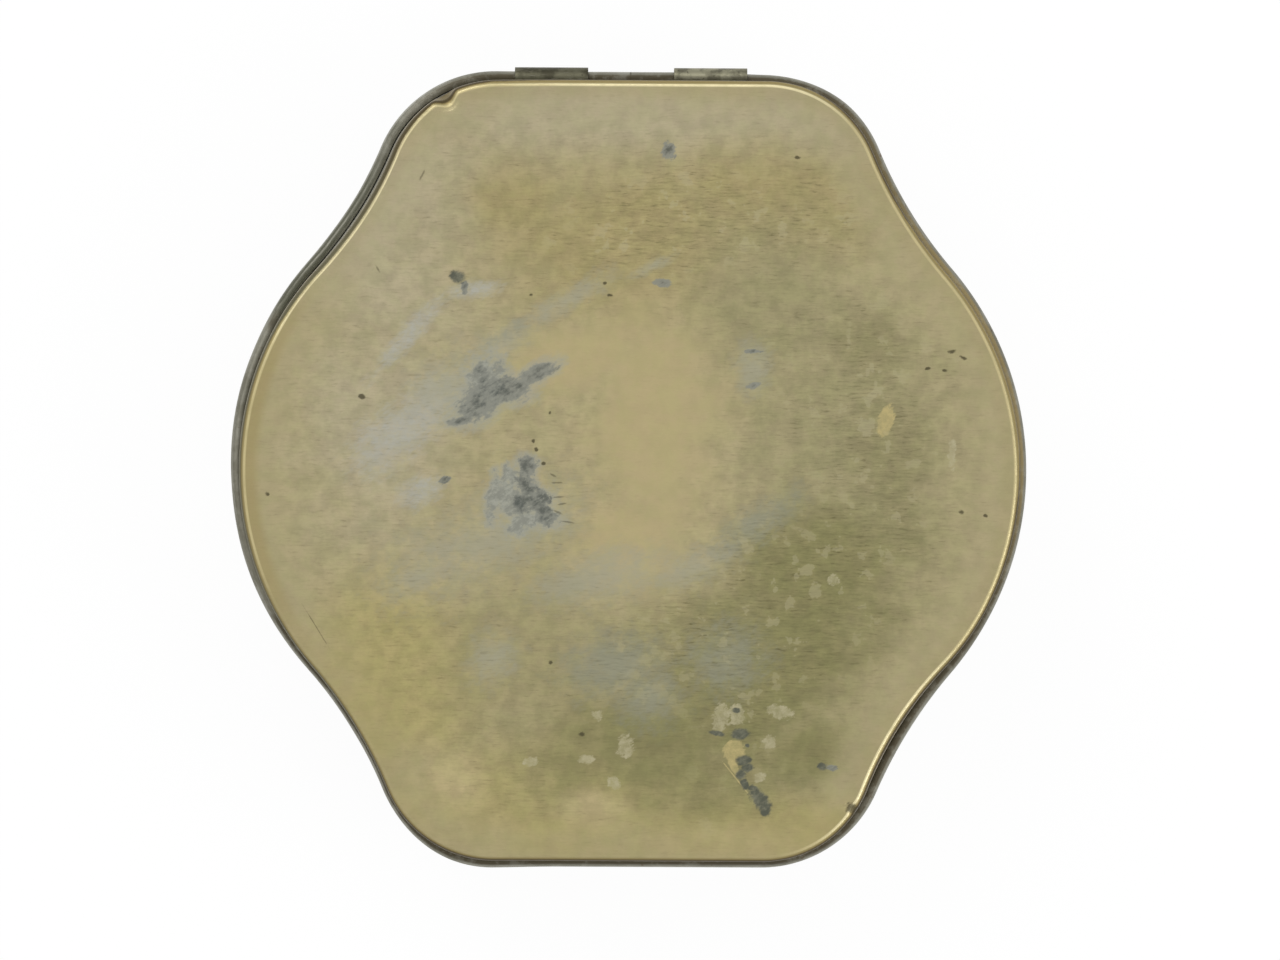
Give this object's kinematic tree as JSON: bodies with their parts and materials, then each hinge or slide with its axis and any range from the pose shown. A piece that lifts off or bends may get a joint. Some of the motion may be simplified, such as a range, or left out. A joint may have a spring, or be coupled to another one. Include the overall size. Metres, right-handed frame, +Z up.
{
  "type": "hinged metal tin",
  "caption": "Shaped tin box with a flat gold-lacquered lid that hinges at the rear on looped straps and closes over an inner collar; holds sweets, biscuits or keepsakes.",
  "frame": {"origin": "under the middle of the tin, on the surface that it stands on", "axes": "+Z up, +Y towards the hinges at the rear, +X to the right seen from above with the hinges at the top"},
  "size_m": [0.15, 0.1508, 0.0408],
  "materials": {
    "gold_lacquer": "gold lacquer on rolled tinplate, satin, rubbed through in places",
    "bare_tin": "bare tinplate, dulled and stained",
    "collar_tin": "bare tinplate, cleaner inside",
    "hinge_tin": "tinned strip and rivets, tarnished",
    "steel_wire": "drawn wire"
  },
  "bodies": {
    "body": {"base_plate": "gold_lacquer", "body_band": "bare_tin", "inner_collar": "collar_tin", "hinge_strap_left": "hinge_tin", "hinge_strap_right": "hinge_tin", "hinge_rivet_left_outer": "hinge_tin", "hinge_rivet_left_inner": "hinge_tin", "hinge_rivet_right_outer": "hinge_tin", "hinge_rivet_right_inner": "hinge_tin"},
    "lid": {"lid_plate": "gold_lacquer", "lid_band": "bare_tin", "lid_rim_wire": "steel_wire"}
  },
  "joints": [
    {"name": "lid_hinge", "type": "hinge", "parent": "body", "child": "lid", "pos_m": [0, 0.0738, 0.0285], "axis": [-1, 0, 0], "range_deg": [0, 185]}
  ]
}
